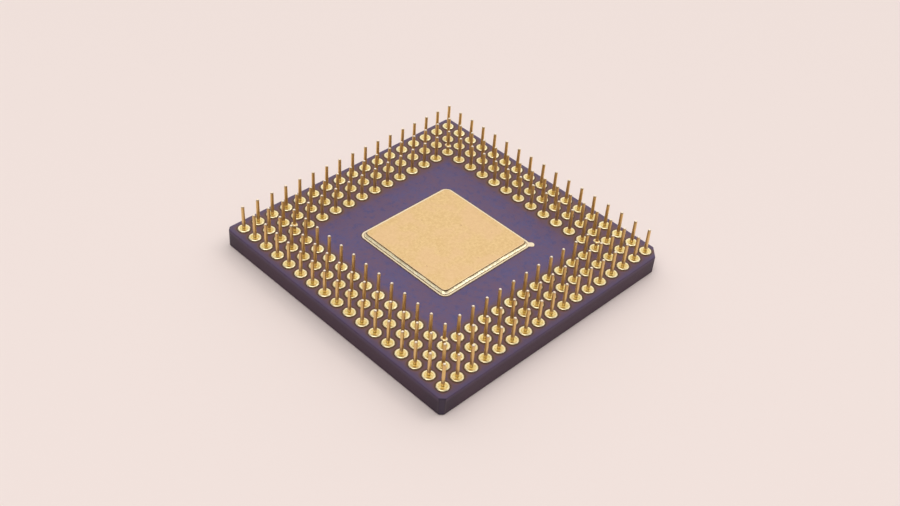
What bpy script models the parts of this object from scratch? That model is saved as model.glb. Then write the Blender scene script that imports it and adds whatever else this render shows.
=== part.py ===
"""Ceramic pin-grid-array processor package, lying on its marking face with its pins pointing up.

Frame: metres, +Z up. The origin is the middle of the marking face, which is the flat side a heat sink
sits on. Pin rows run along X, lettered from A at +Y, and columns are numbered from 1 at +X, so the
index corner (pin A1) is at +X +Y.
"""

import math

import bmesh
import bpy
from mathutils import Matrix, Vector

MM = 0.001

# Driving dimensions, in millimetres
BODY_SIDE = 44.2
INDEX_CHAMFER = 1.6
PLAIN_CHAMFER = 0.55
EDGE_BREAK = 0.12

PIN_PITCH = 2.54
GRID_COUNT = 17
RING_DEPTH = 3
PIN_RISE = 4.0
PIN_RADIUS = 0.23
PIN_SIDES = 6
HEAD_RADIUS = 0.9
HEAD_RISE = 0.18
VIA_WIDTH = 0.3
ROW_LETTERS = "abcdefghjklmnpqrs"

STANDOFF_SIDES = 12
STANDOFF_STUB = 0.3
COLLAR_RADIUS = 0.54
COLLAR_BASE = 1.2
COLLAR_RISE = 0.22

# Heights of the laminate, from the marking face upwards
BASE_TOP = 0.80
GROUND_PLANE = (0.81, 0.84)
LOWER_SHELF = (0.85, 1.45)
UPPER_SHELF = (1.46, 2.00)
POWER_PLANE = (2.01, 2.04)
PIN_SIDE = (2.05, 2.95)
TRACE = (2.07, 2.22)

# Square openings of the die cavity, growing towards the lid
DIE_OPENING = 10.2
SHELF_OPENING = 13.0
LID_OPENING = 14.6

PLANE_INSET = 1.0
DIE_SIDES = (8.4, 7.6)
DIE_PAD = (0.81, 0.83)
DIE_BOND = (0.84, 0.87)
DIE = (0.88, 1.38)
DIE_PAD_MARGIN = 0.5
DIE_BOND_MARGIN = 0.2

WIRES_PER_SIDE = 10
WIRE_WIDTH = 0.05
WIRE_STEPS = 4
WIRE_LOOP = 0.3
WIRE_DIE_INSET = 0.3
WIRE_DIE_PITCH = 0.65
FINGER_PITCH = 0.9
FINGER_INNER = 5.4
FINGER_WIDTH = 0.6
FINGER_LENGTH = 9.2

RING_SIDE = 17.6
RING_CORNER = 1.1
RING_HOLE = 14.9
RING = (2.96, 3.01)
TAB_START = 8.3
TAB_END = 8.95
TAB_RADIUS = 0.4
TAB_SIDES = 16

LID_SIDE = 16.4
LID_CORNER = 0.75
LID = (3.11, 3.51)
LID_BREAK = 0.05
SOLDER_INNER = 15.2
SOLDER_FOOT = 17.3
SOLDER_COLLAR = 16.7
SOLDER_RISE = 0.19
CORNER_STEPS = 4

# The least gap between neighbours, and how far a cutter runs past a face
GAP = 0.01
OVERRUN = 1.0


def principled(name, colour, roughness, metallic):
    """A plain material with the finish of one of the package's materials."""
    material = bpy.data.materials.new(name)
    material.use_nodes = True
    shader = material.node_tree.nodes["Principled BSDF"]
    shader.inputs["Base Color"].default_value = (*colour, 1.0)
    shader.inputs["Roughness"].default_value = roughness
    shader.inputs["Metallic"].default_value = metallic
    return material


def place(name, bm, material):
    """Scales a bmesh from millimetres, stores it and links it as a named object."""
    bmesh.ops.recalc_face_normals(bm, faces=bm.faces)
    bmesh.ops.scale(bm, vec=(MM, MM, MM), verts=bm.verts)
    mesh = bpy.data.meshes.new(name)
    bm.to_mesh(mesh)
    bm.free()
    mesh.materials.append(material)
    thing = bpy.data.objects.new(name, mesh)
    bpy.context.scene.collection.objects.link(thing)
    return thing


def hide_cutter(thing):
    """Keeps a Boolean operand out of the finished part."""
    thing.hide_render = True
    thing.display_type = "WIRE"


def combine(thing, other, operation):
    """Adds a Boolean modifier that joins or cuts the thing with a hidden operand."""
    modifier = thing.modifiers.new(operation.lower(), "BOOLEAN")
    modifier.operation = operation
    modifier.object = other
    hide_cutter(other)


def box(bm, size, centre):
    """Adds a cuboid by its three sides and its centre."""
    scale = Matrix.Diagonal((*size, 1.0))
    bmesh.ops.create_cube(bm, size=1.0, matrix=Matrix.Translation(centre) @ scale)


def span_box(bm, sides, heights, centre=(0.0, 0.0)):
    """Adds a cuboid between two heights."""
    low, high = heights
    box(bm, (*sides, high - low), (*centre, (low + high) / 2))


def body_outline(inset):
    """The package's square outline with a cut at each corner, the widest at the index corner."""
    half = BODY_SIDE / 2 - inset
    points = []
    for quarter in range(4):
        turn = Matrix.Rotation(math.radians(90 * quarter), 2)
        cut = INDEX_CHAMFER if quarter == 0 else PLAIN_CHAMFER
        points.append(turn @ Vector((half, half - cut)))
        points.append(turn @ Vector((half - cut, half)))
    return points


def rounded_square(bm, half, radius, height):
    """Adds the vertices of a rounded square, in order round it, and returns them."""
    verts = []
    for quarter in range(4):
        middle = Matrix.Rotation(math.radians(90 * quarter), 2) @ Vector((half - radius, half - radius))
        for step in range(CORNER_STEPS + 1):
            angle = math.radians(90 * quarter + 90 * step / CORNER_STEPS)
            x = middle.x + radius * math.cos(angle)
            y = middle.y + radius * math.sin(angle)
            verts.append(bm.verts.new((x, y, height)))
    return verts


def skin(bm, first, second):
    """Joins two loops that have the same number of vertices with a band of faces."""
    following = zip(first, first[1:] + first[:1], second[1:] + second[:1], second)
    for corners in following:
        bm.faces.new(corners)


def slab(outline, heights):
    """A flat plate with the given outline, between two heights."""
    low, high = heights
    bm = bmesh.new()
    face = bm.faces.new([bm.verts.new((p.x, p.y, low)) for p in outline])
    grown = bmesh.ops.extrude_face_region(bm, geom=[face], use_keep_orig=True)
    raised = [item for item in grown["geom"] if isinstance(item, bmesh.types.BMVert)]
    bmesh.ops.translate(bm, verts=raised, vec=(0, 0, high - low))
    return bm


def level_edges(bm, height):
    """The edges that lie flat at one height."""
    return [e for e in bm.edges if all(abs(v.co.z - height) < 1e-6 for v in e.verts)]


def break_edges(bm, height, width):
    """Puts a narrow flat on the edges that lie at one height."""
    bmesh.ops.bevel(
        bm, geom=level_edges(bm, height), offset=width, segments=1, profile=0.5, affect="EDGES", material=-1
    )


def framed_hole(name, side, heights):
    """A cutter for a square opening that runs past both faces of a layer."""
    bm = bmesh.new()
    span_box(bm, (side, side), (heights[0] - OVERRUN, heights[1] + OVERRUN))
    return place(name, bm, finishes["ceramic"])


def turned(profile, sides):
    """A solid of revolution about Z, closed at both ends, from radius and height pairs."""
    bm = bmesh.new()
    verts = [bm.verts.new((radius, 0, height)) for radius, height in profile]
    edges = [bm.edges.new(pair) for pair in zip(verts, verts[1:])]
    bmesh.ops.spin(
        bm, geom=verts + edges, axis=(0, 0, 1), cent=(0, 0, 0), angle=math.tau, steps=sides, use_merge=True
    )
    for height in (profile[0][1], profile[-1][1]):
        bmesh.ops.holes_fill(bm, edges=[e for e in level_edges(bm, height) if e.is_boundary])
    return bm


def scatter(unit, spots):
    """Copies one unit shape to every spot in a new bmesh."""
    pattern = bpy.data.meshes.new("unit")
    unit.to_mesh(pattern)
    unit.free()
    bm = bmesh.new()
    for x, y in spots:
        seen = len(bm.verts)
        bm.from_mesh(pattern)
        bm.verts.ensure_lookup_table()
        bmesh.ops.translate(bm, verts=bm.verts[seen:], vec=(x, y, 0))
    return bm


def grid_place(row, column):
    """Where a pin stands, from its row's place in the alphabet and its column number."""
    middle = (GRID_COUNT - 1) / 2
    return (middle - (column - 1)) * PIN_PITCH, (middle - row) * PIN_PITCH


def pin_groups():
    """Every connected row of pins: its name and the places of its pins."""
    last = GRID_COUNT - RING_DEPTH
    standoff_rows = (RING_DEPTH - 1, last)
    standoff_columns = (RING_DEPTH, last + 1)
    every = range(1, GRID_COUNT + 1)
    groups = {}
    for row, letter in enumerate(ROW_LETTERS):
        if row < RING_DEPTH or row >= last:
            taken = standoff_columns if row in standoff_rows else ()
            groups[f"pins_row_{letter}"] = [grid_place(row, c) for c in every if c not in taken]
        else:
            groups[f"pins_row_{letter}_east"] = [grid_place(row, c) for c in every if c <= RING_DEPTH]
            groups[f"pins_row_{letter}_west"] = [grid_place(row, c) for c in every if c > last]
    return groups


def standoff_places():
    """The four collared pins, at the inner corners of the pin rings."""
    low, high = RING_DEPTH, GRID_COUNT - RING_DEPTH + 1
    return {
        f"standoff_pin_{ROW_LETTERS[row - 1]}{column}": grid_place(row - 1, column)
        for row in (low, high)
        for column in (low, high)
    }


def via_posts(spots, width):
    """Square posts that carry the pins down to their buried trace."""
    unit = bmesh.new()
    top = PIN_SIDE[1] + HEAD_RISE / 2
    span_box(unit, (width, width), (TRACE[0] + GAP, top))
    return scatter(unit, spots)


def trace_bar(bm, spots, clearance, heights):
    """The buried trace that runs under one row of pins, or with a clearance the groove for it."""
    xs = [x for x, _ in spots]
    length = max(xs) - min(xs) + VIA_WIDTH + 2 * clearance
    middle = ((max(xs) + min(xs)) / 2, spots[0][1])
    span_box(bm, (length, VIA_WIDTH + 2 * clearance), heights, middle)


def plain_pin():
    """One pin above the ceramic: brazed head, round shank and flat tip."""
    face = PIN_SIDE[1] + GAP
    head = face + HEAD_RISE
    return turned(
        [(HEAD_RADIUS, face), (HEAD_RADIUS, head), (PIN_RADIUS, head), (PIN_RADIUS, PIN_SIDE[1] + PIN_RISE)],
        PIN_SIDES,
    )


def make_pin_rows():
    """Each row of pins is one solid: its pins, their vias and the trace that joins them."""
    for name, spots in pin_groups().items():
        bar = bmesh.new()
        trace_bar(bar, spots, 0.0, TRACE)
        row = place(name, bar, finishes["pin"])
        combine(row, place(f"{name}_vias", via_posts(spots, VIA_WIDTH), finishes["pin"]), "UNION")
        combine(row, place(f"{name}_shanks", scatter(plain_pin(), spots), finishes["pin"]), "UNION")


def make_standoff_pins():
    """A standoff pin has a collar that stops the package above its socket."""
    face = PIN_SIDE[1]
    head = face + GAP + HEAD_RISE
    collar = face + COLLAR_BASE
    profile = [
        (VIA_WIDTH / 2, face - STANDOFF_STUB),
        (VIA_WIDTH / 2, face + GAP),
        (HEAD_RADIUS, face + GAP),
        (HEAD_RADIUS, head),
        (PIN_RADIUS, head),
        (PIN_RADIUS, collar),
        (COLLAR_RADIUS, collar),
        (COLLAR_RADIUS, collar + COLLAR_RISE),
        (PIN_RADIUS, collar + COLLAR_RISE),
        (PIN_RADIUS, face + PIN_RISE),
    ]
    for name, spot in standoff_places().items():
        place(name, scatter(turned(profile, STANDOFF_SIDES), [spot]), finishes["pin"])


def make_base_layer():
    bm = slab(body_outline(0.0), (0.0, BASE_TOP))
    break_edges(bm, 0.0, EDGE_BREAK)
    place("ceramic_base_layer", bm, finishes["ceramic"])


def make_open_layer(name, inset, heights, opening, finish):
    """A layer of the laminate with a square opening for the die cavity."""
    layer = place(name, slab(body_outline(inset), heights), finishes[finish])
    combine(layer, framed_hole(f"{name}_opening", opening, heights), "DIFFERENCE")


def make_pin_side_layer():
    """The top layer holds the vias, so it has a hole for each and a groove for each trace."""
    bm = slab(body_outline(0.0), PIN_SIDE)
    break_edges(bm, PIN_SIDE[1], EDGE_BREAK)
    layer = place("ceramic_pin_side_layer", bm, finishes["ceramic"])
    combine(layer, framed_hole("lid_opening", LID_OPENING, PIN_SIDE), "DIFFERENCE")
    groups = pin_groups().values()
    grooves = bmesh.new()
    for spots in groups:
        trace_bar(grooves, spots, 2 * GAP, (UPPER_SHELF[1], TRACE[1] + 2 * GAP))
    combine(layer, place("trace_grooves", grooves, finishes["ceramic"]), "DIFFERENCE")
    holes = via_posts([spot for spots in groups for spot in spots], VIA_WIDTH + 2 * GAP)
    combine(layer, place("via_holes", holes, finishes["ceramic"]), "DIFFERENCE")
    radius = VIA_WIDTH / 2 + GAP
    stub = [(radius, PIN_SIDE[1] - STANDOFF_STUB - GAP), (radius, PIN_SIDE[1] + OVERRUN)]
    sockets = scatter(turned(stub, STANDOFF_SIDES), standoff_places().values())
    combine(layer, place("standoff_sockets", sockets, finishes["ceramic"]), "DIFFERENCE")


def make_die_stack():
    """The gold pad on the cavity floor, the eutectic bond and the die on it."""
    for name, margin, heights, finish in (
        ("die_attach_pad", DIE_PAD_MARGIN, DIE_PAD, "plating"),
        ("die_attach_preform", DIE_BOND_MARGIN, DIE_BOND, "solder"),
        ("silicon_die", 0.0, DIE, "silicon"),
    ):
        bm = bmesh.new()
        span_box(bm, [side + 2 * margin for side in DIE_SIDES], heights)
        place(name, bm, finishes[finish])


def wire_path(index, across, die_half):
    """One bond wire's points, from its finger on the shelf over a loop to the die."""
    offset = index - (WIRES_PER_SIDE - 1) / 2
    start = Vector((FINGER_INNER, offset * FINGER_PITCH, LOWER_SHELF[1] + GAP + WIRE_WIDTH / 2))
    end = Vector((die_half - WIRE_DIE_INSET, offset * WIRE_DIE_PITCH * across, DIE[1] + GAP + WIRE_WIDTH / 2))
    points = []
    for step in range(WIRE_STEPS + 1):
        part = step / WIRE_STEPS
        point = start.lerp(end, part)
        point.z += 4 * WIRE_LOOP * part * (1 - part)
        points.append(point)
    return points


def finger_bar(paths):
    """The row of bond fingers as one bar, with a square on its inner side where each wire leaves."""
    bm = bmesh.new()
    reach = WIRE_WIDTH / 2
    end = FINGER_LENGTH / 2
    cuts = [-end] + [path[0].y + side for path in paths for side in (-reach, reach)] + [end]
    verts = [bm.verts.new((FINGER_INNER, y, LOWER_SHELF[1] + GAP)) for y in cuts]
    edges = [bm.edges.new(pair) for pair in zip(verts, verts[1:])]
    walls = bmesh.ops.extrude_edge_only(bm, edges=edges)["geom"]
    raised = [item for item in walls if isinstance(item, bmesh.types.BMVert)]
    bmesh.ops.translate(bm, verts=raised, vec=(0, 0, WIRE_WIDTH))
    squares = sorted(bm.faces, key=lambda face: face.calc_center_median().y)[1::2]
    grown = bmesh.ops.extrude_face_region(bm, geom=list(bm.faces), use_keep_orig=True)["geom"]
    outer = [item for item in grown if isinstance(item, bmesh.types.BMVert)]
    bmesh.ops.translate(bm, verts=outer, vec=(FINGER_WIDTH, 0, 0))
    return bm, squares


def make_bond_wires():
    """Each side's bond wires and the row of fingers that they leave, as one solid."""
    for quarter, side in enumerate(("east", "north", "west", "south")):
        across = DIE_SIDES[1 - quarter % 2] / max(DIE_SIDES)
        paths = [wire_path(index, across, DIE_SIDES[quarter % 2] / 2) for index in range(WIRES_PER_SIDE)]
        bm, squares = finger_bar(paths)
        for step in range(1, WIRE_STEPS + 1):
            squares = bmesh.ops.extrude_discrete_faces(bm, faces=squares)["faces"]
            squares.sort(key=lambda face: face.calc_center_median().y)
            for face, path in zip(squares, paths):
                bmesh.ops.translate(bm, verts=face.verts, vec=path[step] - path[step - 1])
        turn = Matrix.Rotation(math.radians(90 * quarter), 4, "Z")
        bmesh.ops.transform(bm, matrix=turn, verts=bm.verts)
        place(f"bond_wires_{side}", bm, finishes["plating"])


def rings(levels):
    """A closed frame of rounded squares, from half side, corner radius and height of each loop."""
    bm = bmesh.new()
    loops = [rounded_square(bm, *level) for level in levels]
    for first, second in zip(loops, loops[1:] + loops[:1]):
        skin(bm, first, second)
    return bm


def make_seal_ring():
    """The gold ring on the ceramic, with the index tab that points at pin A1."""
    outer, inner = RING_SIDE / 2, RING_HOLE / 2
    inner_corner = RING_CORNER / 2
    low, high = RING
    outside = [(outer, RING_CORNER, low), (outer, RING_CORNER, high)]
    inside = [(inner, inner_corner, high), (inner, inner_corner, low)]
    bm = rings(outside + inside)
    ring = place("seal_ring", bm, finishes["plating"])
    tab = bmesh.new()
    for reach in (TAB_START, TAB_END):
        for height in (low, high - GAP):
            spot = Matrix.Translation((reach, reach, height))
            bmesh.ops.create_circle(tab, cap_ends=False, radius=TAB_RADIUS, segments=TAB_SIDES, matrix=spot)
    hull = bmesh.ops.convex_hull(tab, input=tab.verts)
    loose = [v for v in hull["geom_interior"] if isinstance(v, bmesh.types.BMVert)]
    bmesh.ops.delete(tab, geom=loose, context="VERTS")
    combine(ring, place("index_tab", tab, finishes["plating"]), "UNION")


def make_solder_seal():
    """The solder between ring and lid, with its fillet up the lid's edge."""
    foot, collar, inner = SOLDER_FOOT / 2, SOLDER_COLLAR / 2, SOLDER_INNER / 2
    wall = LID_SIDE / 2 + GAP
    low, under = RING[1] + GAP, LID[0] - GAP
    top = LID[0] + SOLDER_RISE
    bm = rings(
        [
            (inner, LID_CORNER, low),
            (foot, RING_CORNER, low),
            (foot, RING_CORNER, low + GAP),
            (collar, LID_CORNER, under),
            (wall + GAP, LID_CORNER, top),
            (wall, LID_CORNER, top),
            (wall, LID_CORNER, under),
            (inner, LID_CORNER, under),
        ]
    )
    place("seal_solder", bm, finishes["solder"])


def make_lid():
    bm = bmesh.new()
    half = LID_SIDE / 2
    loops = [
        rounded_square(bm, half, LID_CORNER, LID[0]),
        rounded_square(bm, half, LID_CORNER, LID[1] - LID_BREAK),
        rounded_square(bm, half - LID_BREAK, LID_CORNER - LID_BREAK, LID[1]),
    ]
    for first, second in zip(loops, loops[1:]):
        skin(bm, first, second)
    for loop in (loops[0], loops[-1]):
        bm.faces.new(loop)
    place("lid", bm, finishes["lid"])


for leftover in list(bpy.data.objects):
    bpy.data.objects.remove(leftover)

finishes = {
    "ceramic": principled("ceramic", (0.135, 0.105, 0.195), 0.55, 0.0),
    "tungsten": principled("tungsten", (0.30, 0.29, 0.28), 0.5, 1.0),
    "plating": principled("plating", (0.83, 0.66, 0.36), 0.35, 1.0),
    "pin": principled("pin", (0.80, 0.63, 0.33), 0.3, 1.0),
    "solder": principled("solder", (0.80, 0.72, 0.55), 0.4, 1.0),
    "lid": principled("lid", (0.82, 0.60, 0.30), 0.45, 1.0),
    "silicon": principled("silicon", (0.20, 0.21, 0.24), 0.2, 0.6),
}

make_base_layer()
make_open_layer("ground_plane", PLANE_INSET, GROUND_PLANE, DIE_OPENING + PLANE_INSET, "tungsten")
make_open_layer("ceramic_lower_shelf_layer", 0.0, LOWER_SHELF, DIE_OPENING, "ceramic")
make_open_layer("ceramic_upper_shelf_layer", 0.0, UPPER_SHELF, SHELF_OPENING, "ceramic")
make_open_layer("power_plane", PLANE_INSET, POWER_PLANE, LID_OPENING + PLANE_INSET, "tungsten")
make_pin_side_layer()
make_die_stack()
make_bond_wires()
make_seal_ring()
make_solder_seal()
make_lid()
make_standoff_pins()
make_pin_rows()
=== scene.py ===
import math
import random

import bmesh
import bpy
from mathutils import Matrix, Vector, noise


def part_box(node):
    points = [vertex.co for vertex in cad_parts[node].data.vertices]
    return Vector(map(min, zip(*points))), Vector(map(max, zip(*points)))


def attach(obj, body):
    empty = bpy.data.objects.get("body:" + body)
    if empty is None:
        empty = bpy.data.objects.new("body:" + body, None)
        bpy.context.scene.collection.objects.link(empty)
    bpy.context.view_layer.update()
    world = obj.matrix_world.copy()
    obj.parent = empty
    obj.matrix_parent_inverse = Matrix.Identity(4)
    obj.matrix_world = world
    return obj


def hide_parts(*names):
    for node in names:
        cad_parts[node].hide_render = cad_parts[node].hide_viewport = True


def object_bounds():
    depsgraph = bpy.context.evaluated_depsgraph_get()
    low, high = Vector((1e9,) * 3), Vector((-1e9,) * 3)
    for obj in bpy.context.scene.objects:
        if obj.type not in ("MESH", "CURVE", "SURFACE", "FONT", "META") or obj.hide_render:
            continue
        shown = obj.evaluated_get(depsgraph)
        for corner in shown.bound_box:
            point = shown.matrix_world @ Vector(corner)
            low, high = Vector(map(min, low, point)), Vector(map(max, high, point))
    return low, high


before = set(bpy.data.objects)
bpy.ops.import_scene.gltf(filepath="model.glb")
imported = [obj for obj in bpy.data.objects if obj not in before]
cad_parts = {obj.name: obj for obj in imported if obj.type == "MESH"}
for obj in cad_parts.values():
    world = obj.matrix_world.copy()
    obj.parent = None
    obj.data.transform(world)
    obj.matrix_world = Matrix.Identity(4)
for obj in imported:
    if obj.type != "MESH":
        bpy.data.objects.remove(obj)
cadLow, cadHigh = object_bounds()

mm = 0.001  # every size below is in millimetres
near = 1e-4  # points closer than this are the same

print("frame loaded")


# Sizes that the frame gives

def nodeBox(node):  # lowest and highest corner of a node, in millimetres
    low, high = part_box(node)
    return low / mm, high / mm


bodyHalf = nodeBox("ceramic_base_layer")[1].x
bodyTop = nodeBox("ceramic_pin_side_layer")[1].z
baseTop = nodeBox("ceramic_base_layer")[1].z
lowerShelfTop = nodeBox("ceramic_lower_shelf_layer")[1].z
upperShelfTop = nodeBox("ceramic_upper_shelf_layer")[1].z
lidLow, lidHigh = nodeBox("lid")
ringHalf = -nodeBox("seal_ring")[0].x
ringTop = nodeBox("seal_ring")[1].z
solderLow, solderHigh = nodeBox("seal_solder")
pinTop = cadHigh.z / mm
standoffLow, standoffHigh = nodeBox("standoff_pin_c3")
padRadius = (standoffHigh.x - standoffLow.x) / 2
pinRows = sorted(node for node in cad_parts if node.startswith("pins_row_"))
standoffs = sorted(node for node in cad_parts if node.startswith("standoff_pin_"))


# Shader expressions

class Signal:  # one shader socket, which plain arithmetic works on
    def __init__(self, tree, socket=None):
        self.tree = tree
        self.socket = socket

    def node(self, kind, settings, values, output=0):
        added = self.tree.nodes.new(kind)
        for name, value in settings.items():
            setattr(added, name, value)
        for name, value in values.items():
            self.feed(added.inputs[name], value)
        return Signal(self.tree, added.outputs[output])

    def feed(self, socket, value):
        if isinstance(value, Signal):
            self.tree.links.new(value.socket, socket)
        elif isinstance(value, tuple) and len(socket.default_value) > len(value):
            socket.default_value = (*value, 1.0)
        else:
            socket.default_value = value

    def math(self, operation, *values):
        return self.node("ShaderNodeMath", {"operation": operation}, dict(enumerate(values)))

    def __add__(self, other):
        return self.math("ADD", self, other)

    def __radd__(self, other):
        return self.math("ADD", other, self)

    def __sub__(self, other):
        return self.math("SUBTRACT", self, other)

    def __rsub__(self, other):
        return self.math("SUBTRACT", other, self)

    def __mul__(self, other):
        return self.math("MULTIPLY", self, other)

    def __rmul__(self, other):
        return self.math("MULTIPLY", other, self)

    def __truediv__(self, other):
        return self.math("DIVIDE", self, other)


def larger(first, second):
    return first.math("MAXIMUM", first, second)


def unsigned(value):
    return value.math("ABSOLUTE", value)


def length(first, second):  # the long side of a right triangle
    squares = first * first + second * second
    return squares.math("SQRT", squares)


def rise(value, low, high):  # a soft step from 0 to 1 between two values
    sockets = {"Value": value, "From Min": low, "From Max": high}
    return value.node("ShaderNodeMapRange", {"interpolation_type": "SMOOTHSTEP"}, sockets)


def riseBelow(value, goal, limits):  # a soft step that starts and ends at two distances below the goal
    return rise(value, goal - limits[0], goal - limits[1])


def mixed(factor, first, second):  # from the first colour to the second
    sockets = {0: factor, 6: first, 7: second}
    return factor.node("ShaderNodeMix", {"data_type": "RGBA"}, sockets, 2)


def cloudy(place, scale, detail=4.0, roughness=0.6):  # soft noise, scale in lumps per millimetre
    sockets = {"Vector": place, "Scale": scale, "Detail": detail, "Roughness": roughness}
    return place.node("ShaderNodeTexNoise", {}, sockets)


def clouded(place, colour, tone, lumps, limits, share):  # a tone laid over a colour in soft patches
    return mixed(rise(cloudy(place, *lumps), *limits) * share, colour, tone)


def bumped(height, depth, strength=1.0):  # depth in millimetres
    sockets = {"Height": height, "Distance": depth * mm, "Strength": strength}
    return height.node("ShaderNodeBump", {}, sockets)


def startFinish(name):  # a new material: its shader, and its place on the object in millimetres
    material = bpy.data.materials.new(name)
    material.use_nodes = True
    tree = material.node_tree
    start = Signal(tree)
    place = start.node("ShaderNodeTexCoord", {}, {}, 3)
    place = start.node("ShaderNodeVectorMath", {"operation": "SCALE"}, {0: place, "Scale": 1 / mm})
    return material, tree.nodes["Principled BSDF"], place


def setFinish(shader, place, values):
    for name, value in values.items():
        place.feed(shader.inputs[name], value)


def axes(place):
    return [place.node("ShaderNodeSeparateXYZ", {}, {0: place}, axis) for axis in range(3)]


def squareDistance(across, along, half, corner):  # how far outside a rounded square a place is
    outX = larger(unsigned(across) - (half - corner), 0.0)
    outY = larger(unsigned(along) - (half - corner), 0.0)
    return length(outX, outY) - corner


# Finishes. Limits are where a soft mask starts and where it is full. A cloud is its tone, its lumps
# per millimetre with their detail and roughness, its limits in that noise, and its share.

ceramicLook = {
    "purple": (0.132, 0.077, 0.162),
    "clouds": {
        "bluish": ((0.104, 0.077, 0.198), (0.32, 3.0, 0.6), (0.40, 0.68), 1.0),
        "reddish": ((0.172, 0.079, 0.136), (2.6, 4.0, 0.65), (0.46, 0.72), 0.75),
        "streaks": ((0.070, 0.062, 0.190), (1.1, 5.0, 0.7), (0.50, 0.66), 0.7),
        "specks": ((0.34, 0.29, 0.42), (1.7, 2.0, 0.7), (0.74, 0.80), 0.5),
    },
    # painted reflection of the gold pins on the ceramic between them
    "warmth": {
        "tone": (0.182, 0.082, 0.044),
        "padLimits": (0.2, 0.8),
        "padShare": 0.85,
        "fieldLimits": (13.2, 14.0),
        "fieldShare": 0.4,
    },
    # painted contact shadow at the foot of the pins and of the seal ring
    "stain": {
        "tone": (0.080, 0.035, 0.011),
        "padLimits": (0.05, 0.32),
        "ringLimits": (0.04, 0.26),
        "topLimits": (0.08, 0.02),
        "share": 0.85,
    },
    # painted reflection: a bluer band along the outer edge of the top, carried onto the sides
    "edge": {"tone": (0.064, 0.050, 0.140), "limits": (1.2, 0.2), "share": 0.55},
    # painted shade: the side faces are darker, most towards the bottom
    "side": {
        "tone": (0.064, 0.029, 0.056),
        "limits": (0.08, 0.02),
        "fadeLimits": (0.9, 0.2),
        "fadeShare": 0.75,
    },
    # painted shade at the corners and on the side faces near them; the lower roughness there is not
    # painted
    "corner": {
        "tone": (0.024, 0.014, 0.034),
        "limits": (0.9, 0.65),
        "share": 0.7,
        "shadeLimits": (5.0, 0.6),
        "shadeShare": 0.6,
        "roughness": 0.28,
    },
    "mottle": (2.6, 4.0, 0.65),
    "grain": (15.0, 3.0),
    "mottleInBump": 0.6,
    "bump": (0.014, 0.7),
    "roughness": 0.44,
    "roughnessSpread": 0.14,
    "specular": 0.38,
}


def makeCeramic(name, look):
    material, shader, place = startFinish(name)
    across, along, height = axes(place)
    reach = larger(unsigned(across), unsigned(along))
    both = unsigned(across) + unsigned(along)
    fromPad = padDistance(across, along)
    fromRing = squareDistance(across, along, ringHalf, sealRing["corner"])

    colour = look["purple"]
    for cloud in look["clouds"].values():
        colour = clouded(place, colour, *cloud)

    warmth = look["warmth"]  # painted reflection of the gold pins: brown round the pins and across the pin field
    aroundPads = (1 - rise(fromPad, *warmth["padLimits"])) * warmth["padShare"]
    inField = rise(reach, *warmth["fieldLimits"]) * warmth["fieldShare"]
    colour = mixed(larger(aroundPads, inField), colour, warmth["tone"])

    stain = look["stain"]  # painted contact shadow: a dark line at the foot of the pins and of the seal ring
    foot = larger(1 - rise(fromPad, *stain["padLimits"]), 1 - rise(fromRing, *stain["ringLimits"]))
    onTop = riseBelow(height, bodyTop, stain["topLimits"])
    colour = mixed(foot * onTop * stain["share"], colour, stain["tone"])

    # painted reflection: a bluer band along the outer edge of the top, carried onto the sides
    edge = look["edge"]
    colour = mixed(riseBelow(reach, bodyHalf, edge["limits"]) * edge["share"], colour, edge["tone"])

    # painted shade: the side faces are darker, most towards the bottom
    side = look["side"]
    onSide = riseBelow(reach, bodyHalf, side["limits"])
    onSide = onSide * (1 - side["fadeShare"] * riseBelow(height, bodyTop, side["fadeLimits"]))
    colour = mixed(onSide, colour, side["tone"])

    # painted shade at the corners and on the side faces near them
    corner = look["corner"]
    atCorner = riseBelow(both, 2 * bodyHalf, corner["limits"])
    shade = riseBelow(both, 2 * bodyHalf, corner["shadeLimits"]) * onSide
    darkening = larger(shade * corner["shadeShare"], atCorner * corner["share"])
    colour = mixed(darkening, colour, corner["tone"])

    mottle = cloudy(place, *look["mottle"])
    grain = cloudy(place, *look["grain"])
    polish = (look["roughness"] - corner["roughness"]) * atCorner
    setFinish(shader, place, {
        "Base Color": colour,
        "Roughness": look["roughness"] + look["roughnessSpread"] * mottle - polish,
        "Specular IOR Level": look["specular"],
        "Normal": bumped(grain + look["mottleInBump"] * mottle, *look["bump"]),
    })
    return material


pinLook = {
    "gold": (0.86, 0.68, 0.31),
    "dishGold": (0.70, 0.53, 0.19),
    "shankGold": (0.82, 0.57, 0.25),
    # painted highlight on the standoff collars; on the pad rims partly a paler plating and partly a
    # painted highlight
    "rimGold": (1.0, 0.88, 0.57),
    # painted highlight on the rounded pin tips
    "tipSilver": (0.95, 0.80, 0.62),
    "headLimits": (0.2, 0.35),
    "rimLimits": (0.60, 0.72),
    "collarLimits": (0.30, 0.40),
    "collarShare": 0.8,
    "tipLimits": (0.12, 0.04),
    "wear": (3.0, 4.0),
    "wearLimits": (0.42, 0.62),
    "rimChance": (0.7, 0.3),  # the least bright rim, and how much brighter others are
    "dents": (3.0, 2.0),
    "bump": (0.02, 0.4),
    "roughness": 0.24,
    "headRoughness": 0.2,
    "shankRoughness": 0.08,
}


def gridOffset(value):  # how far a place is from the nearest grid line of pins
    return value.math("WRAP", value, pinShape["pitch"] / 2, -pinShape["pitch"] / 2)


def padDistance(across, along):  # how far outside the nearest pad a place is, far where no pins stand
    reach = larger(unsigned(across), unsigned(along))
    radius = length(gridOffset(across), gridOffset(along))
    nowhere = 1 - rise(reach, *pinShape["fieldInside"]) + rise(reach, *pinShape["fieldOutside"])
    return radius - padRadius + pinShape["farAway"] * nowhere


def pinChance(across, along):  # a number from 0 to 1 that is the same all over one pin
    column = across.math("ROUND", across / pinShape["pitch"])
    row = along.math("ROUND", along / pinShape["pitch"])
    cell = across.node("ShaderNodeCombineXYZ", {}, {0: column, 1: row})
    return cell.node("ShaderNodeTexWhiteNoise", {}, {"Vector": cell})


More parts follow.
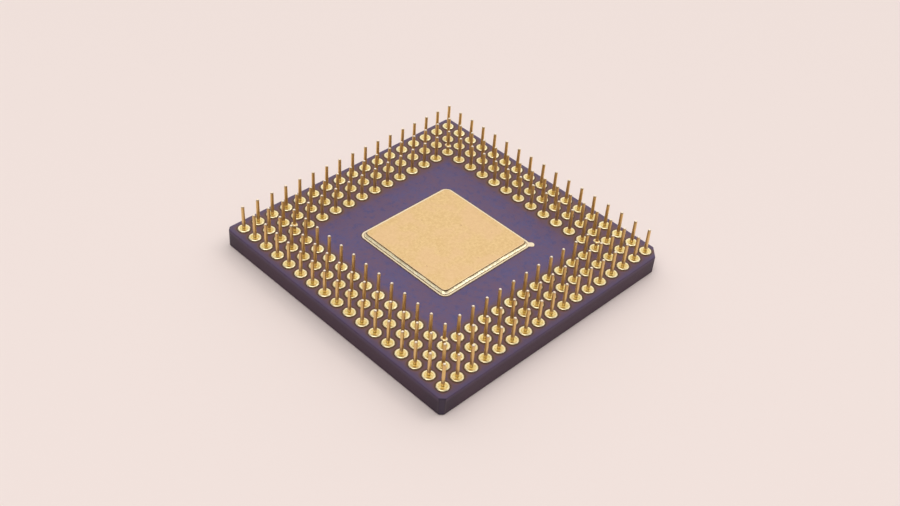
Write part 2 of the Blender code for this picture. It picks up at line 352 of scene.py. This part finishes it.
def makePinGold(name, look):
    material, shader, place = startFinish(name)
    across, along, height = axes(place)
    radius = padDistance(across, along) + padRadius
    onHead = 1 - rise(height - bodyTop, *look["headLimits"])
    rim = rise(radius, *look["rimLimits"]) * onHead
    tip = riseBelow(height, pinTop, look["tipLimits"])
    wear = cloudy(place, *look["wear"])
    least, spread = look["rimChance"]
    headGold = mixed(rise(wear, *look["wearLimits"]), look["dishGold"], look["gold"])
    # painted highlight on the standoff collars
    onCollar = rise(radius, *look["collarLimits"]) * look["collarShare"]
    shankGold = mixed(onCollar, look["shankGold"], look["rimGold"])
    colour = mixed(onHead, shankGold, headGold)
    # the pad rims are paler, partly plating and partly a painted highlight; how bright differs from pin to
    # pin
    colour = mixed(rim * (least + spread * pinChance(across, along)), colour, look["rimGold"])
    # painted highlight on the rounded pin tips
    colour = mixed(tip, colour, look["tipSilver"])
    rougher = look["headRoughness"] * wear * onHead + look["shankRoughness"] * (1 - onHead)
    setFinish(shader, place, {
        "Base Color": colour,
        "Metallic": 1.0,
        "Roughness": look["roughness"] + rougher,
        "Normal": bumped(cloudy(place, *look["dents"]) * onHead, *look["bump"]),
    })
    return material


lidPlate = {"corner": 0.75, "cornerSteps": 6, "edge": 0.1, "edgeSteps": 3}

lidLook = {
    "gold": (0.708, 0.468, 0.212),
    "clouds": {
        "paleGold": ((0.820, 0.582, 0.290), (3.0, 5.0, 0.75), (0.36, 0.66), 1.0),
        "rosyGold": ((0.790, 0.523, 0.294), (0.25, 3.0, 0.6), (0.42, 0.62), 0.5),
    },
    # painted highlight along the rounded top edge of the lid
    "edge": {"tone": (0.98, 0.80, 0.54), "limits": (-0.16, -0.04), "share": 0.4},
    "specks": ((0.52, 0.28, 0.16), (2.1, 0.0, 0.6), (0.845, 0.87), 0.7),
    # painted shade on the lid's side wall
    "wall": {"tone": (0.20, 0.15, 0.06), "limits": (0.16, 0.06), "share": 0.9},
    "grain": (3.0, 5.0, 0.75),
    "fineGrain": (9.0, 3.0, 0.6),
    "fineInBump": 0.5,
    "bump": (0.045, 0.8),
    "roughness": 0.30,
    "roughnessSpread": 0.18,
}


def makeLidGold(name, look):
    material, shader, place = startFinish(name)
    across, along, height = axes(place)
    colour = look["gold"]
    for cloud in look["clouds"].values():
        colour = clouded(place, colour, *cloud)
    edge, wall = look["edge"], look["wall"]
    fromEdge = squareDistance(across, along, lidHigh.x, lidPlate["corner"])
    # painted highlight along the rounded top edge of the lid
    colour = mixed(rise(fromEdge, *edge["limits"]) * edge["share"], colour, edge["tone"])
    colour = clouded(place, colour, *look["specks"])
    # painted shade on the lid's side wall below the top
    onWall = 1 - riseBelow(height, lidHigh.z, wall["limits"])
    colour = mixed(onWall * wall["share"], colour, wall["tone"])
    grain = cloudy(place, *look["grain"])
    fineGrain = cloudy(place, *look["fineGrain"])
    setFinish(shader, place, {
        "Base Color": colour,
        "Metallic": 1.0,
        "Roughness": look["roughness"] + look["roughnessSpread"] * grain,
        "Normal": bumped(grain + look["fineInBump"] * fineGrain, *look["bump"]),
    })
    return material


ringLook = {
    "gold": (0.84, 0.69, 0.47),
    "paleGold": ((0.96, 0.83, 0.62), (6.0, 4.0), (0.35, 0.65), 1.0),
    "grain": (6.0, 4.0),
    "bump": (0.012, 0.5),
    "roughness": 0.40,
    "roughnessSpread": 0.14,
}


def makeRingGold(name, look):
    material, shader, place = startFinish(name)
    grain = cloudy(place, *look["grain"])
    setFinish(shader, place, {
        "Base Color": clouded(place, look["gold"], *look["paleGold"]),
        "Metallic": 1.0,
        "Roughness": look["roughness"] + look["roughnessSpread"] * grain,
        "Normal": bumped(grain, *look["bump"]),
    })
    return material


solderLook = {
    "pale": (1.0, 0.91, 0.66),
    "deep": ((0.96, 0.80, 0.50), (1.6, 3.0), (0.35, 0.68), 1.0),
    # painted shade in the crease at the foot of the fillet
    "toe": {"tone": (0.36, 0.27, 0.14), "limits": (0.03, 0.09), "share": 0.8},
    "ripple": (1.6, 3.0),
    "streaks": (5.0, 3.0),
    "streaksInBump": 0.3,
    "bump": (0.10, 0.7),
    "roughness": 0.24,
    "roughnessSpread": 0.2,
}


def makeSolder(name, look):
    material, shader, place = startFinish(name)
    height = axes(place)[2]
    ripple = cloudy(place, *look["ripple"])
    streaks = cloudy(place, *look["streaks"])
    # painted shade in the crease at the foot of the fillet
    toe = look["toe"]
    atToe = 1 - rise(height - solderLow.z, *toe["limits"])
    colour = clouded(place, look["pale"], *look["deep"])
    colour = mixed(atToe * toe["share"], colour, toe["tone"])
    setFinish(shader, place, {
        "Base Color": colour,
        "Metallic": 1.0,
        "Roughness": look["roughness"] + look["roughnessSpread"] * streaks,
        "Normal": bumped(ripple + look["streaksInBump"] * streaks, *look["bump"]),
    })
    return material


insideLook = {  # two tones, a roughness, and lumps of grain per millimetre
    "tungsten": ((0.28, 0.27, 0.26), (0.36, 0.34, 0.32), 0.5, 8.0),
    "diePad": ((0.86, 0.64, 0.28), (0.92, 0.72, 0.38), 0.35, 5.0),
    "preform": ((0.78, 0.68, 0.48), (0.86, 0.76, 0.56), 0.4, 5.0),
    "wireGold": ((0.90, 0.68, 0.30), (0.94, 0.74, 0.38), 0.25, 9.0),
}

metalGrain = {"detail": 4.0, "roughnessSpread": 0.12, "bump": (0.01, 0.5)}


def makePlainMetal(name, first, second, roughness, scale):
    material, shader, place = startFinish(name)
    grain = cloudy(place, scale, metalGrain["detail"])
    setFinish(shader, place, {
        "Base Color": mixed(grain, first, second),
        "Metallic": 1.0,
        "Roughness": roughness + metalGrain["roughnessSpread"] * grain,
        "Normal": bumped(grain, *metalGrain["bump"]),
    })
    return material


dieLook = {
    "dark": (0.05, 0.055, 0.08),
    "lines": (0.30, 0.27, 0.30),
    "blocks": {"Scale": 1.6, "Mortar Size": 0.04, "Brick Width": 0.9, "Row Height": 0.5},
    "grain": (12.0, 2.0),
    "grainInColour": 0.2,
    "metallic": 0.6,
    "roughness": 0.18,
    "roughnessSpread": 0.1,
}


def makeSilicon(name, look):
    material, shader, place = startFinish(name)
    blocks = place.node("ShaderNodeTexBrick", {}, {"Vector": place, **look["blocks"]}, 1)
    grain = cloudy(place, *look["grain"])
    lines = blocks + look["grainInColour"] * grain
    setFinish(shader, place, {
        "Base Color": mixed(lines, look["dark"], look["lines"]),
        "Metallic": look["metallic"],
        "Roughness": look["roughness"] + look["roughnessSpread"] * grain,
    })
    return material


print("finishes ready")


# Making pieces

def keepPiece(name, bm, material, nodes, sharpAngle=35):
    bmesh.ops.recalc_face_normals(bm, faces=bm.faces)
    bmesh.ops.scale(bm, vec=(mm, mm, mm), verts=bm.verts)
    mesh = bpy.data.meshes.new(name)
    bm.to_mesh(mesh)
    bm.free()
    mesh.shade_smooth()
    mesh.set_sharp_from_angle(angle=math.radians(sharpAngle))
    mesh.materials.append(material)
    piece = bpy.data.objects.new(name, mesh)
    bpy.context.scene.collection.objects.link(piece)
    evenShading = piece.modifiers.new("evenShading", "WEIGHTED_NORMAL")  # wide faces stay flat
    evenShading.keep_sharp = True
    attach(piece, "root")
    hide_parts(*nodes)
    return piece


def block(halfX, halfY, low, high):
    bm = bmesh.new()
    bmesh.ops.create_cube(bm, size=1.0)
    bmesh.ops.scale(bm, vec=(2 * halfX, 2 * halfY, high - low), verts=bm.verts)
    bmesh.ops.translate(bm, vec=(0, 0, (low + high) / 2), verts=bm.verts)
    return bm


def cutEdges(bm, edges, width, steps):
    return bmesh.ops.bevel(
        bm, geom=edges, offset=width, segments=steps, profile=0.5, affect="EDGES", material=-1
    )


def uprightEdges(bm):
    ends = [(e, e.verts[0].co, e.verts[1].co) for e in bm.edges]
    return [e for e, one, other in ends if abs(one.z - other.z) > 10 * near
            and (one.xy - other.xy).length < near]


def levelEdges(bm, height):
    return [e for e in bm.edges if all(abs(v.co.z - height) < near for v in e.verts)]


def levelFaces(bm, height):  # faces that look up at a height
    return [f for f in bm.faces if f.normal.z > 0.9
            and abs(f.calc_center_median().z - height) < near]


def flatFaces(bm):
    return [f for f in bm.faces if abs(f.normal.z) > 0.99]


def middleOf(faces):
    return [f for f in faces if f.calc_center_median().xy.length < 0.1]


def scoreSquare(bm, half, facesToScore):  # cuts the lines of a square into flat faces
    for axis in (Vector((1, 0, 0)), Vector((0, 1, 0))):
        for side in (-1, 1):
            faces = facesToScore(bm)
            parts = set(faces) | {e for f in faces for e in f.edges} | {v for f in faces for v in f.verts}
            bmesh.ops.bisect_plane(bm, geom=list(parts), plane_co=axis * half * side, plane_no=axis)
            bm.normal_update()


def pushed(bm, face, down):  # extrudes a face straight down and returns the new one
    made = bmesh.ops.extrude_face_region(bm, geom=[face])["geom"]
    bmesh.ops.delete(bm, geom=[face], context="FACES_ONLY")
    moved = [v for v in made if isinstance(v, bmesh.types.BMVert)]
    bmesh.ops.translate(bm, vec=(0, 0, -down), verts=moved)
    return [f for f in made if isinstance(f, bmesh.types.BMFace)][0]


# Ceramic body, one fired block with its stepped cavity under the lid

ceramicBody = {
    "indexChamfer": 1.6,
    "plainChamfer": 0.55,
    "cornerSoftening": 0.12,
    "softeningSteps": 2,
    "edgeBreak": 0.2,
    "breakSteps": 4,
    "lidOpening": 14.6,
    "upperOpening": 13.0,
    "dieOpening": 10.2,
}


def makeCeramicBody(sizes, material):
    bm = block(bodyHalf, bodyHalf, 0.0, bodyTop)
    index = [e for e in uprightEdges(bm) if e.verts[0].co.x > 0 and e.verts[0].co.y > 0]
    plain = [e for e in uprightEdges(bm) if e not in index]
    cutEdges(bm, index, sizes["indexChamfer"], 1)
    cutEdges(bm, plain, sizes["plainChamfer"], 1)
    cutEdges(bm, uprightEdges(bm), sizes["cornerSoftening"], sizes["softeningSteps"])
    rims = levelEdges(bm, bodyTop) + levelEdges(bm, 0.0)
    cutEdges(bm, rims, sizes["edgeBreak"], sizes["breakSteps"])
    bm.normal_update()
    scoreSquare(bm, sizes["lidOpening"] / 2, lambda bm: levelFaces(bm, bodyTop))
    floor = pushed(bm, middleOf(levelFaces(bm, bodyTop))[0], bodyTop - upperShelfTop)
    step = (sizes["lidOpening"] - sizes["upperOpening"]) / 2
    bmesh.ops.inset_region(bm, faces=[floor], thickness=step)
    floor = pushed(bm, floor, upperShelfTop - lowerShelfTop)
    step = (sizes["upperOpening"] - sizes["dieOpening"]) / 2
    bmesh.ops.inset_region(bm, faces=[floor], thickness=step)
    pushed(bm, floor, lowerShelfTop - baseTop)
    layers = [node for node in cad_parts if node.startswith("ceramic_")]
    return keepPiece("ceramicBody", bm, material, layers)


# Pins, one turned shape copied along each row

pinShape = {
    "sides": 12,
    "pitch": 2.54,
    "shank": 0.23,
    "profile": (  # radius, and height above the ceramic
        (0.90, 0.0), (0.90, 0.08), (0.80, 0.15), (0.58, 0.09), (0.26, 0.15), (0.23, 3.90), (0.16, 4.0)
    ),
    "lean": 0.6,  # degrees at most
    "leanFrom": 0.3,
    "seed": 7,
    "fieldInside": (13.8, 13.9),  # pins stand between these distances from the middle
    "fieldOutside": (21.5, 21.6),
    "farAway": 5,
}


def turnedPin(profile, sides):
    bm = bmesh.new()
    points = [(0.0, profile[0][1])] + list(profile) + [(0.0, profile[-1][1])]
    verts = [bm.verts.new((radius, 0, bodyTop + height)) for radius, height in points]
    edges = [bm.edges.new(pair) for pair in zip(verts, verts[1:])]
    bmesh.ops.spin(
        bm, geom=verts + edges, axis=(0, 0, 1), cent=(0, 0, 0), angle=math.tau, steps=sides, use_merge=True
    )
    bmesh.ops.remove_doubles(bm, verts=bm.verts, dist=near)
    pattern = bpy.data.meshes.new("pinPattern")
    bm.to_mesh(pattern)
    bm.free()
    return pattern


def standoffPlaces():
    return [sum(nodeBox(node), Vector()) / 2 for node in standoffs]


def rowPlaces(node, pitch):  # where the pins of a row stand
    low, high = nodeBox(node)
    count = round((high.x - low.x - 2 * padRadius) / pitch) + 1
    middle = (low.y + high.y) / 2
    spots = [Vector((low.x + padRadius + index * pitch, middle)) for index in range(count)]
    taken = standoffPlaces()
    return [s for s in spots if all((s - place.xy).length > pitch / 2 for place in taken)]


def addPin(bm, pattern, spot, lean, leanFrom):
    seen = len(bm.verts)
    bm.from_mesh(pattern)
    bm.verts.ensure_lookup_table()
    foot = bodyTop + leanFrom
    for v in bm.verts[seen:]:
        if v.co.z > foot:
            v.co.xy += lean * (v.co.z - foot)
    bmesh.ops.translate(bm, vec=(spot.x, spot.y, 0), verts=bm.verts[seen:])


def pieceName(node):
    first, *others = node.split("_")
    return first + "".join(word.capitalize() for word in others)


def makePinRows(shape, material):
    chance = random.Random(shape["seed"])
    most = math.tan(math.radians(shape["lean"]))
    pattern = turnedPin(shape["profile"], shape["sides"])
    for node in pinRows:
        bm = bmesh.new()
        for spot in rowPlaces(node, shape["pitch"]):
            lean = Vector((chance.uniform(-most, most), chance.uniform(-most, most)))
            addPin(bm, pattern, spot, lean, shape["leanFrom"])
        keepPiece(pieceName(node), bm, material, [node])


# Standoff pins, with the collar pressed out of the wire

standoffShape = {
    "collarBase": 1.2,
    "collarRise": 0.22,
    "collarReach": 0.56,
    "collarFlat": 0.75,
    "rounding": 0.06,
    "root": 0.05,
}


def makeStandoffs(shape, pin, material):
    base, reach, rounding = shape["collarBase"], shape["collarReach"], shape["rounding"]
    top = base + shape["collarRise"]
    below = [p for p in pin["profile"] if p[1] < base]
    above = [p for p in pin["profile"] if p[1] > top]
    collar = [
        (pin["shank"], base - shape["root"]),
        (reach - rounding, base),
        (reach, base + rounding),
        (reach, top - rounding),
        (reach - rounding, top),
        (pin["shank"], top + shape["root"]),
    ]
    pattern = turnedPin(below + collar + above, pin["sides"])
    for node, place in zip(standoffs, standoffPlaces()):
        bm = bmesh.new()
        addPin(bm, pattern, place.xy, Vector((0, 0)), pin["leanFrom"])
        ears = [v for v in bm.verts if base - 0.01 < v.co.z - bodyTop < top + 0.01]
        space = Matrix.Translation((0, -place.y, 0))
        bmesh.ops.scale(bm, vec=(1, shape["collarFlat"], 1), space=space, verts=ears)
        keepPiece(pieceName(node), bm, material, [node])


# Seal ring with its index tab

sealRing = {
    "corner": 1.1,
    "cornerSteps": 10,
    "hole": 14.9,
    "tabSteps": (  # how far out, and how wide beside its root
        (0.12, 0.90), (0.40, 0.92), (0.60, 0.78), (0.70, 0.52), (0.74, 0.2)
    ),
    "tabAngle": 26,
}


def makeSealRing(sizes, material):
    bm = block(ringHalf, ringHalf, bodyTop, ringTop)
    cutEdges(bm, uprightEdges(bm), sizes["corner"], sizes["cornerSteps"])
    bm.normal_update()
    diagonal = Vector((1, 1, 0)).normalized()
    spread = math.cos(math.radians(sizes["tabAngle"]))
    tip = [f for f in bm.faces if abs(f.normal.z) < 0.1 and f.normal.dot(diagonal) > spread]
    start = max(v.co.dot(diagonal) for f in tip for v in f.verts)
    turn = Matrix.Rotation(math.radians(-45), 4, "Z")
    width = 1.0
    for reach, share in sizes["tabSteps"]:
        made = bmesh.ops.extrude_face_region(bm, geom=tip)["geom"]
        bmesh.ops.delete(bm, geom=tip, context="FACES_ONLY")
        tip = [f for f in made if isinstance(f, bmesh.types.BMFace)]
        tipVerts = [v for v in made if isinstance(v, bmesh.types.BMVert)]
        bmesh.ops.scale(bm, vec=(0, share / width, 1), space=turn, verts=tipVerts)
        bmesh.ops.translate(bm, vec=diagonal * (start + reach), verts=tipVerts)
        width = share
    bm.normal_update()
    openHole(bm, sizes["hole"] / 2)
    return keepPiece("sealRing", bm, material, ["seal_ring"])


def openHole(bm, half):  # a square hole through a flat plate
    scoreSquare(bm, half, flatFaces)
    middle = middleOf(flatFaces(bm))
    edges = list({e for f in middle for e in f.edges})
    bmesh.ops.delete(bm, geom=middle, context="FACES_ONLY")
    bmesh.ops.bridge_loops(bm, edges=edges)


# Solder between ring and lid, with the fillet that climbs the lid's edge

solderFillet = {
    "corner": 0.9,
    "cornerSteps": 8,
    "cuts": 23,
    "footInset": 0.10,
    "footRise": 0.012,
    "slope": (  # steps inwards and upwards
        (0.04, 0.05), (0.08, 0.05), (0.11, 0.07), (0.09, 0.07), (0.04, 0.04)
    ),
    "ripple": 0.04,
    "rippleScale": 0.9,
    "sharpAngle": 60,
}


def makeSolderFillet(sizes, material):
    half = solderHigh.x - sizes["footInset"]
    footTop = solderLow.z + sizes["footRise"]
    bm = block(half, half, solderLow.z, footTop)
    cutEdges(bm, uprightEdges(bm), sizes["corner"], sizes["cornerSteps"])
    long = [e for e in bm.edges if e.calc_length() > half]
    bmesh.ops.subdivide_edges(bm, edges=long, cuts=sizes["cuts"], use_grid_fill=True)
    bm.normal_update()
    top = max(levelFaces(bm, footTop), key=lambda f: f.calc_area())
    for inward, upward in sizes["slope"]:
        bmesh.ops.inset_region(bm, faces=[top], thickness=inward, depth=upward, use_even_offset=True)
    topHeight = top.calc_center_median().z
    for v in bm.verts:
        if footTop + 0.01 < v.co.z < topHeight - 0.01:
            v.co.z += sizes["ripple"] * noise.noise(v.co * sizes["rippleScale"])
    pushed(bm, top, topHeight - lidLow.z + 0.01)
    bm.normal_update()
    return keepPiece("solderFillet", bm, material, ["seal_solder"], sizes["sharpAngle"])


# Lid, a stamped plate with softly rounded edges

def makeLid(sizes, material):
    bm = block(lidHigh.x, lidHigh.y, lidLow.z, lidHigh.z)
    cutEdges(bm, uprightEdges(bm), sizes["corner"], sizes["cornerSteps"])
    cutEdges(bm, levelEdges(bm, lidHigh.z), sizes["edge"], sizes["edgeSteps"])
    return keepPiece("lidPlate", bm, material, ["lid"])


ceramicFinish = makeCeramic("firedCeramic", ceramicLook)
pinFinish = makePinGold("pinGold", pinLook)
makeCeramicBody(ceramicBody, ceramicFinish)
print("ceramic body made")
makePinRows(pinShape, pinFinish)
makeStandoffs(standoffShape, pinShape, pinFinish)
print("pins made")
makeSealRing(sealRing, makeRingGold("ringGold", ringLook))
makeSolderFillet(solderFillet, makeSolder("solderAlloy", solderLook))
makeLid(lidPlate, makeLidGold("lidGold", lidLook))
print("lid and seal made")


# Nodes that stay as they are and get a finish

def dress(nodes, material):
    for node in nodes:
        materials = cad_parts[node].data.materials
        materials.clear()
        materials.append(material)


dress(["ground_plane", "power_plane"], makePlainMetal("tungstenSheet", *insideLook["tungsten"]))
dress(["die_attach_pad"], makePlainMetal("diePadGold", *insideLook["diePad"]))
dress(["die_attach_preform"], makePlainMetal("preformAlloy", *insideLook["preform"]))
dress(["silicon_die"], makeSilicon("silicon", dieLook))
wires = [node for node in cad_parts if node.startswith("bond_wires_")]
dress(wires, makePlainMetal("wireGold", *insideLook["wireGold"]))
print("inner parts finished")


# Floor, light and camera

studio = {
    "floorSide": 3000.0,
    "floorTone": (0.95, 0.82, 0.775),
    "floorRoughness": 0.8,
    "floorSpecular": 0.2,
    "skyToward": (-0.40, 0.52, 0.755),
    "skyEdge": (0.1, 0.95),
    "dim": (0.15, 0.145, 0.14),
    "bright": (1.12, 1.12, 1.12),
}


def makeFloor(values):
    bm = bmesh.new()
    bmesh.ops.create_grid(bm, x_segments=1, y_segments=1, size=values["floorSide"] / 2 * mm)
    mesh = bpy.data.meshes.new("floor")
    bm.to_mesh(mesh)
    bm.free()
    material = bpy.data.materials.new("floorPaint")
    material.use_nodes = True
    sockets = material.node_tree.nodes["Principled BSDF"].inputs
    sockets["Base Color"].default_value = (*values["floorTone"], 1.0)
    sockets["Roughness"].default_value = values["floorRoughness"]
    sockets["Specular IOR Level"].default_value = values["floorSpecular"]
    mesh.materials.append(material)
    floor = bpy.data.objects.new("floor", mesh)
    bpy.context.scene.collection.objects.link(floor)


def makeSky(values):
    world = bpy.data.worlds.new("softSky")
    world.use_nodes = True
    bpy.context.scene.world = world
    tree = world.node_tree
    start = Signal(tree)
    direction = start.node("ShaderNodeTexCoord", {}, {}, 0)
    sockets = {0: direction, 1: values["skyToward"]}
    along = start.node("ShaderNodeVectorMath", {"operation": "DOT_PRODUCT"}, sockets, 1)
    colour = mixed(rise(along, *values["skyEdge"]), values["dim"], values["bright"])
    start.feed(tree.nodes["Background"].inputs["Color"], colour)


lights = {
    "key": {
        "toward": (0.14, -0.40, 0.90),
        "distance": 1000.0,
        "size": 800.0,
        "power": 2.8,
        "colour": (1.0, 1.0, 1.0),
    },
    "strip": {
        "toward": (0.30, 0.60, 0.74),
        "distance": 1000.0,
        "size": 300.0,
        "power": 0.65,
        "colour": (1.0, 0.98, 0.95),
    },
}


def makeLight(name, values):
    lamp = bpy.data.lights.new(name, "AREA")
    lamp.shape = "SQUARE"
    lamp.size = values["size"] * mm
    lamp.energy = values["power"]
    lamp.color = values["colour"]
    light = bpy.data.objects.new(name, lamp)
    toward = Vector(values["toward"]).normalized()
    light.location = toward * values["distance"] * mm
    light.rotation_euler = toward.to_track_quat("Z", "Y").to_euler()
    bpy.context.scene.collection.objects.link(light)


view = {
    "lens": 48.272,
    "sensor": 36.0,
    "azimuth": 42.503,
    "elevation": 40.112,
    "roll": 4.80,
    "distance": 170.514,
    "aim": (2.456, -1.541),
    "nearest": 5.0,
    "farthest": 20000.0,
}


def makeCamera(values):
    turn, lift = math.radians(values["azimuth"]), math.radians(values["elevation"])
    flat = math.cos(lift)
    back = Vector((math.sin(turn) * flat, -math.cos(turn) * flat, math.sin(lift)))
    data = bpy.data.cameras.new("camera")
    data.lens = values["lens"]
    data.sensor_width = values["sensor"]
    data.clip_start = values["nearest"] * mm
    data.clip_end = values["farthest"] * mm
    camera = bpy.data.objects.new("camera", data)
    aim = Vector((*values["aim"], bodyTop))
    camera.location = (aim + back * values["distance"]) * mm
    facing = (-back).to_track_quat("-Z", "Y").to_matrix().to_4x4()
    roll = Matrix.Rotation(math.radians(values["roll"]), 4, "Z")
    camera.rotation_euler = (facing @ roll).to_euler()
    bpy.context.scene.collection.objects.link(camera)
    bpy.context.scene.camera = camera


makeFloor(studio)
makeSky(studio)
for lightName, lightValues in lights.items():
    makeLight(lightName, lightValues)
makeCamera(view)
bpy.context.scene.view_settings.view_transform = "Standard"
print("studio ready")
